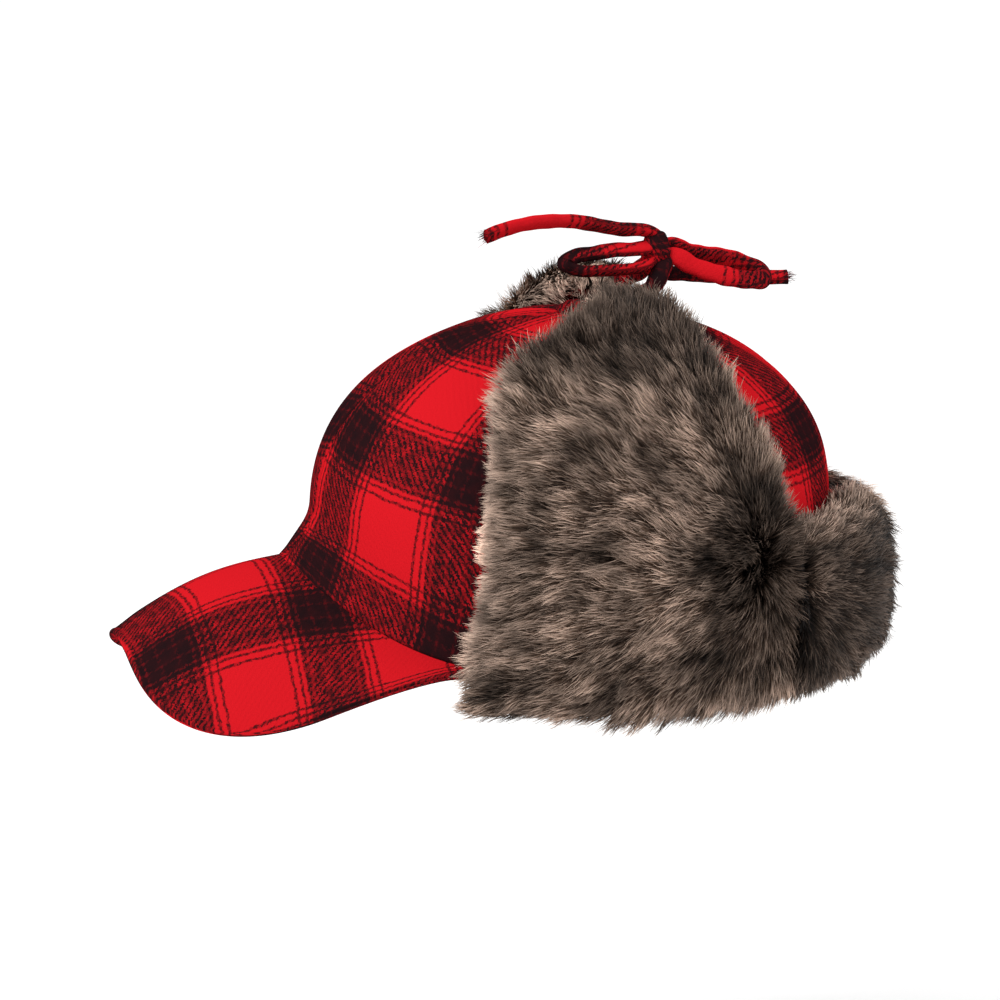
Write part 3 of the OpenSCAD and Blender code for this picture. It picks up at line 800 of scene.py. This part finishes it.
def fur_tree():
    t = bpy.data.node_groups.new("fur pile", "GeometryNodeTree")
    gi, go = sockets(t, [("Geometry", "NodeSocketGeometry", None), ("Strand", "NodeSocketObject", None),
                         ("Strands per area", "NodeSocketFloat", 3e6), ("Clumps per area", "NodeSocketFloat", 3e4),
                         ("Length", "NodeSocketFloat", 0.016), ("Width", "NodeSocketFloat", 0.00045),
                         ("Clump pull", "NodeSocketFloat", 0.6), ("Lift", "NodeSocketFloat", 0.25),
                         ("Stray", "NodeSocketFloat", 0.12), ("Seed", "NodeSocketInt", 1),
                         ("Material", "NodeSocketMaterial", None)], [("Geometry", "NodeSocketGeometry")])
    new, link = t.nodes.new, t.links.new

    def attribute(name, kind):
        n = new("GeometryNodeInputNamedAttribute")
        n.data_type = kind
        n.inputs["Name"].default_value = name
        return n.outputs["Attribute"]

    def vec(op, a, b=None, scale=None, out=0):
        n = new("ShaderNodeVectorMath")
        n.operation = op
        link(a, n.inputs[0])
        if b is not None:
            link(b, n.inputs[1])
        if scale is not None:
            if isinstance(scale, (int, float)):
                n.inputs["Scale"].default_value = scale
            else:
                link(scale, n.inputs["Scale"])
        return n.outputs[out]

    def chance(low, high, seed, kind="FLOAT", ident=None):
        n = new("FunctionNodeRandomValue")
        n.data_type = kind
        lo = [s for s in n.inputs if s.name == "Min" and s.enabled][0]
        hi = [s for s in n.inputs if s.name == "Max" and s.enabled][0]
        lo.default_value, hi.default_value = low, high
        n.inputs["Seed"].default_value = seed
        if ident is not None:
            link(ident, n.inputs["ID"])
        return [s for s in n.outputs if s.enabled][0]

    roots = new("GeometryNodeDistributePointsOnFaces")
    link(gi.outputs["Geometry"], roots.inputs["Mesh"])
    dense = sum_node(t, "MULTIPLY", gi.outputs["Strands per area"], attribute("dense", "FLOAT"))
    link(dense, roots.inputs["Density"])
    link(gi.outputs["Seed"], roots.inputs["Seed"])
    clumps = new("GeometryNodeDistributePointsOnFaces")
    link(gi.outputs["Geometry"], clumps.inputs["Mesh"])
    link(gi.outputs["Clumps per area"], clumps.inputs["Density"])
    link(gi.outputs["Seed"], clumps.inputs["Seed"])
    nearest = new("GeometryNodeSampleNearest")
    link(clumps.outputs["Points"], nearest.inputs["Geometry"])
    where = new("GeometryNodeInputPosition")
    centre = new("GeometryNodeSampleIndex")
    centre.data_type = "FLOAT_VECTOR"
    link(clumps.outputs["Points"], centre.inputs["Geometry"])
    link(where.outputs[0], centre.inputs["Value"])
    link(nearest.outputs["Index"], centre.inputs["Index"])
    by_clump = chance(0.0, 1.0, 16, ident=nearest.outputs["Index"])
    clump_long = sum_node(t, "MULTIPLY_ADD", by_clump, 0.25, 0.87)
    long = sum_node(t, "MULTIPLY", sum_node(t, "MULTIPLY", gi.outputs["Length"], attribute("tall", "FLOAT")),
                    sum_node(t, "MULTIPLY", clump_long, chance(0.6, 1.1, 11)))
    # each hair leans along the nap and in towards the tip of its clump; where the nap parts it stands up
    to_clump = vec("SCALE", vec("SUBTRACT", centre.outputs[0], where.outputs[0]), scale=gi.outputs["Clump pull"])
    lie = attribute("nap", "FLOAT_VECTOR")
    nap = vec("SCALE", lie, scale=long)
    parted = sum_node(t, "MULTIPLY", sum_node(t, "SUBTRACT", 1.0, vec("LENGTH", lie, out=1), clamp=True), 0.75)
    steep = sum_node(t, "ADD", parted, sum_node(t, "MULTIPLY", gi.outputs["Lift"], chance(0.4, 1.6, 12)))
    rise = vec("SCALE", roots.outputs["Normal"], scale=sum_node(t, "MULTIPLY", long, steep))
    stray = vec("SCALE", chance((-1, -1, -1), (1, 1, 1), 13, "FLOAT_VECTOR"),
                scale=sum_node(t, "MULTIPLY", long, gi.outputs["Stray"]))
    bunch = vec("SCALE", chance((-1, -1, -1), (1, 1, 1), 18, "FLOAT_VECTOR", nearest.outputs["Index"]),
                scale=sum_node(t, "MULTIPLY", long, 0.16))
    lean = vec("ADD", vec("ADD", vec("ADD", nap, rise), vec("ADD", to_clump, stray)), bunch)
    turn = new("FunctionNodeAxesToRotation")
    turn.primary_axis = "X"
    turn.secondary_axis = "Z"
    link(lean, turn.inputs["Primary Axis"])
    link(roots.outputs["Normal"], turn.inputs["Secondary Axis"])
    roll = new("FunctionNodeAxisAngleToRotation")
    roll.inputs["Axis"].default_value = (1, 0, 0)
    link(chance(-0.9, 0.9, 14), roll.inputs["Angle"])
    rolled = new("FunctionNodeRotateRotation")
    rolled.rotation_space = "LOCAL"
    link(turn.outputs[0], rolled.inputs["Rotation"])
    link(roll.outputs[0], rolled.inputs["Rotate By"])
    size = new("ShaderNodeCombineXYZ")
    link(long, size.inputs[0])
    link(sum_node(t, "MULTIPLY", gi.outputs["Width"], chance(0.6, 1.3, 15)), size.inputs[1])
    link(long, size.inputs[2])
    mixed = sum_node(t, "ADD", sum_node(t, "MULTIPLY", by_clump, 0.5),
                     sum_node(t, "MULTIPLY", chance(0.0, 1.0, 17), 0.5))
    kept = roots.outputs["Points"]
    # pale holds the pale rims above zero and painted shade below zero
    for name, value in (("tone", mixed), ("edge", attribute("pale", "FLOAT"))):
        keep = new("GeometryNodeStoreNamedAttribute")
        keep.data_type = "FLOAT"
        keep.domain = "POINT"
        keep.inputs["Name"].default_value = name
        link(kept, keep.inputs["Geometry"])
        link(value, [s for s in keep.inputs if s.name == "Value" and s.enabled][0])
        kept = keep.outputs[0]
    hair = new("GeometryNodeObjectInfo")
    link(gi.outputs["Strand"], hair.inputs["Object"])
    put = new("GeometryNodeInstanceOnPoints")
    link(kept, put.inputs["Points"])
    link(hair.outputs["Geometry"], put.inputs["Instance"])
    link(rolled.outputs[0], put.inputs["Rotation"])
    link(size.outputs[0], put.inputs["Scale"])
    real = new("GeometryNodeRealizeInstances")
    link(put.outputs[0], real.inputs[0])
    paint = new("GeometryNodeSetMaterial")
    link(real.outputs[0], paint.inputs["Geometry"])
    link(gi.outputs["Material"], paint.inputs["Material"])
    link(paint.outputs[0], go.inputs[0])
    return t


FUR_TREE = fur_tree()
STRAND = strand_shape()


def fur_color(name, root, middle, tip, spread):
    m = bpy.data.materials.new(name)
    m.use_nodes = True
    t = m.node_tree

    def value(name):
        n = t.nodes.new("ShaderNodeAttribute")
        n.attribute_name = name
        return n.outputs["Fac"]

    where = t.nodes.new("ShaderNodeTexCoord")
    patch = t.nodes.new("ShaderNodeTexNoise")
    patch.inputs["Scale"].default_value = 48
    patch.inputs["Detail"].default_value = 3
    t.links.new(where.outputs["Object"], patch.inputs["Vector"])
    ramp = t.nodes.new("ShaderNodeValToRGB")
    ramp.color_ramp.elements[0].color = (*root, 1)
    ramp.color_ramp.elements[0].position = 0.2
    ramp.color_ramp.elements[1].color = (*tip, 1)
    ramp.color_ramp.elements[1].position = 0.95
    e = ramp.color_ramp.elements.new(0.62)
    e.color = (*middle, 1)
    # pale hairs at the rim of the flap, dark ones where the blotchy dye is heavy, and painted shade where the pale
    # value is below zero
    t.links.new(sum_node(t, "MULTIPLY_ADD", sum_node(t, "MAXIMUM", value("edge"), 0.0), 0.3,
                          value("along"), clamp=True), ramp.inputs[0])
    vary = sum_node(t, "MULTIPLY_ADD", value("tone"), spread, 1 - spread / 2)
    blotch = sum_node(t, "MULTIPLY_ADD", patch.outputs["Fac"], 3.4, -0.75)
    # painted shade: a pale value below zero darkens the hairs of the shaded parts of the flaps
    dye_and_painted_shade = sum_node(t, "MULTIPLY", blotch, sum_node(t, "ADD", value("edge"), 1.0, clamp=True))
    shade = sum_node(t, "MAXIMUM", sum_node(t, "MULTIPLY", vary, dye_and_painted_shade), sum_node(t, "MULTIPLY", value("edge"), 0.9))
    lit = t.nodes.new("ShaderNodeHueSaturation")
    t.links.new(ramp.outputs[0], lit.inputs["Color"])
    t.links.new(shade, lit.inputs["Value"])
    skin = t.nodes["Principled BSDF"]
    t.links.new(lit.outputs[0], skin.inputs["Base Color"])
    skin.inputs["Roughness"].default_value = 0.5
    skin.inputs["Specular IOR Level"].default_value = 0.08
    return m


# the near-black roots and the dark undercoat are partly the fur's own dark base and partly painted shade deep in the
# pile between the clumps
guard_color = fur_color("guard hair", (0.006, 0.0035, 0.0025), (0.080, 0.050, 0.035), (0.48, 0.345, 0.27), 1.8)
under_color = fur_color("undercoat", (0.004, 0.0025, 0.002), (0.032, 0.020, 0.015), (0.085, 0.056, 0.042), 0.9)
back_color = plain("fur backing", (0.009, 0.006, 0.005), 0.9)


def nap_over(p, place, az, h, pull):
    """Which way, and how flat, the pile lies: it parts at a hollow where ear and neck flap meet."""
    up_way, rear_way = np.gradient(p, axis=0), np.gradient(p, axis=1)
    up_way /= np.linalg.norm(up_way, axis=2)[..., None] + 1e-9
    rear_way /= np.linalg.norm(rear_way, axis=2)[..., None] + 1e-9
    far = az > 180
    near_az = np.where(far, 360 - az, az)
    if place is ear_point:
        up = np.where(h < 0.35, h / 0.35 * 57, 57 + (h - 0.35) / 0.65 * 120)
        b = up - 50
        a = (near_az - 120) * 1.95 * (1 - 0.35 * ease(b / 80))
        front, rear = ear_edges(h, pull)
        share = (az - front) / (rear - front)
        fa, fb = a / np.hypot(a, b), 0.66 * b / np.hypot(a, b)
        fb = fb + 0.45 * ease((b - 55) / 60)
        fa = fa + 0.8 * ease((share - 0.74) / 0.26) * ease((up - 20) / 60)
    else:
        up = h * 60
        b = up - 46
        a = (near_az - 120) * 1.95
        fa, fb = a / np.hypot(a, b), 1.1 * b / np.hypot(a, b)
        mid = 1 - np.abs(az - 180) / 28
        fa = np.where(mid > 0, fa * (1 - ease(mid)), fa)
        fb = fb - 0.7 * ease(mid)
    fa = np.where(far, -fa, fa)
    lie = (0.25 + 0.75 * ease(np.hypot(a, b) / 24)) / (np.hypot(fa, fb) + 1e-6)
    sway = 0.30 * soft_wave(near_az / 8, up / 13, 5) + 0.20 * soft_wave(near_az / 2.6, up / 4.5, 6)
    ca, sa = np.cos(sway) * lie, np.sin(sway) * lie
    ga, gb = fa * ca - fb * sa, fa * sa + fb * ca
    return rear_way * ga[..., None] + up_way * gb[..., None], np.hypot(a, b)


def fur_coat(name, base, body, length, width, strands, clumps, pull, lift, stray, seed, material):
    holder = bpy.data.objects.new(name + " roots", base)
    bpy.context.collection.objects.link(holder)
    grow = holder.modifiers.new("pile", "NODES")
    grow.node_group = FUR_TREE
    keys = {s.name: s.identifier for s in FUR_TREE.interface.items_tree if s.in_out == "INPUT"}
    for key, value in (("Strand", STRAND), ("Strands per area", float(strands)), ("Clumps per area", float(clumps)),
                       ("Length", length * MM), ("Width", width * MM), ("Clump pull", pull), ("Lift", lift),
                       ("Stray", stray), ("Seed", seed), ("Material", material)):
        grow[keys[key]] = value
    grown = holder.evaluated_get(bpy.context.evaluated_depsgraph_get())
    mesh = bpy.data.meshes.new_from_object(grown)
    bpy.data.objects.remove(holder)
    coat = add_piece(name, mesh, None)
    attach(coat, body)
    print("PILE", name, len(mesh.polygons) // 3, "hairs")
    return coat


# length and width in mm, strands and clumps on a square metre, clump pull, lift, stray, colour
coats = [("undercoat", 9, 0.5, 1.5e6, 3e4, 0.3, 0.45, 0.25, under_color),
         ("long hair", 17, 0.34, 2.05e6, 2.0e4, 0.8, 0.24, 0.10, guard_color),
         ("fine hair", 16, 0.27, 2.05e6, 5.5e4, 0.6, 0.30, 0.14, guard_color)]
for name, place, start, end, body, node, side, pull in panels:
    ear = place is ear_point
    rows, cols = (64, 48) if ear else (26, 30)
    far_h = np.linspace(0, 1, rows)[:, None]
    h = far_h + np.zeros((1, cols))
    lo, hi = ear_edges(far_h, pull) if ear else (start, end)
    az = lo + (hi - lo) * np.linspace(0, 1, cols)[None, :] + 0 * h
    long, wide = (175, 108) if ear else (60, math.radians(end - start) * 110)
    up_at, along_at = far_h * long, np.linspace(0, 1, cols)[None, :] * wide
    rim = np.minimum(up_at, long - up_at) + 0 * along_at
    if ear:
        # the ear flap's rear edge is rounded only above the neck flap, where it is free
        rim = np.minimum(rim, np.minimum(along_at, wide - along_at + 60 * (1 - ease((far_h - 0.3) / 0.1))))
    turned_in = 1 - ease(rim / 4.5)
    thick = (4.2 if ear else 6.5) * clamp01(rim / 9) ** 0.5
    over = panel_grid(place, start, end, side, pull, LAYER3 + 0.4 + thick, rows, cols, 0.3)
    low_off = LAYER3 - (LAYER3 - LAYER2 - 0.2) * turned_in
    under = panel_grid(place, start, end, side, pull, low_off, rows, cols, 0.3)
    hide = slab(name + " fur back", under, over, np.zeros((rows, cols, 2)), back_color)
    straight = panel_grid(place, start, end, 1, pull, LAYER3 + 0.4 + thick, rows, cols, 0.3)
    nap, parting = nap_over(straight, place, az, h, pull)
    nap[..., 0] *= side
    tall = (0.62 + 0.38 * ease(parting / 40)) * (1 + 0.14 * soft_wave(az / 9, h * 9, 8))
    if ear:
        front = 1 - ease(np.linspace(0, 1, cols)[None, :] / 0.16)
        tall = tall * (1 - 0.30 * ease((h - 0.8) / 0.2)) * (0.85 + 0.15 * ease(h / 0.12))
        tall = tall * (1 - 0.45 * front * ease((h - 0.14) / 0.12) * (1 - ease((h - 0.5) / 0.15)))
        tall = tall * (0.72 if pull else 1)
        # painted shade: the ear flap's hairs darken towards its top, at its foot by the fold, and in the hollow
        # where the pile parts, kept as pale values below zero
        painted_shade = 0.8 * ease((h - 0.55) / 0.25) + 0.18 * (1 - ease((h - 0.02) / 0.15)) + 0.8 * (1 - ease(parting / 42))
        pale = (1.0 if pull else 0.75) * (1 - ease(rim / (14 if pull else 9))) * ease((h - 0.03) / 0.12)
        pale = np.where(pale > 0.06, pale, -np.minimum(painted_shade, 0.7))
    else:
        tall = tall * 0.85
        pale = 0.45 * (1 - ease((1 - h) * 60 / 8))
        # painted shade: the neck flap's hairs below its pale top rim are darkened
        pale = np.where(pale > 0.04, pale, -0.68)
    mesh = hide.data
    zero = np.zeros(rows * cols)
    for key, kind, values in (("nap", "vector", np.tile(nap.reshape(-1, 3), (2, 1)).ravel()),
                              ("dense", "value", np.concatenate([zero, zero + 1])),
                              ("tall", "value", np.tile(tall.ravel(), 2)),
                              ("pale", "value", np.tile(pale.ravel(), 2))):
        where = mesh.attributes.new(key, "FLOAT_VECTOR" if kind == "vector" else "FLOAT", "POINT")
        where.data.foreach_set(kind, values)
    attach(hide, body)
    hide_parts(node + "_fur")
    root_mesh = mesh.copy()
    for i, (coat, *sizes, color) in enumerate(coats):
        fur_coat(name + " " + coat, root_mesh, body, *sizes, 30 + len(name) + i, color)

bpy.context.view_layer.update()
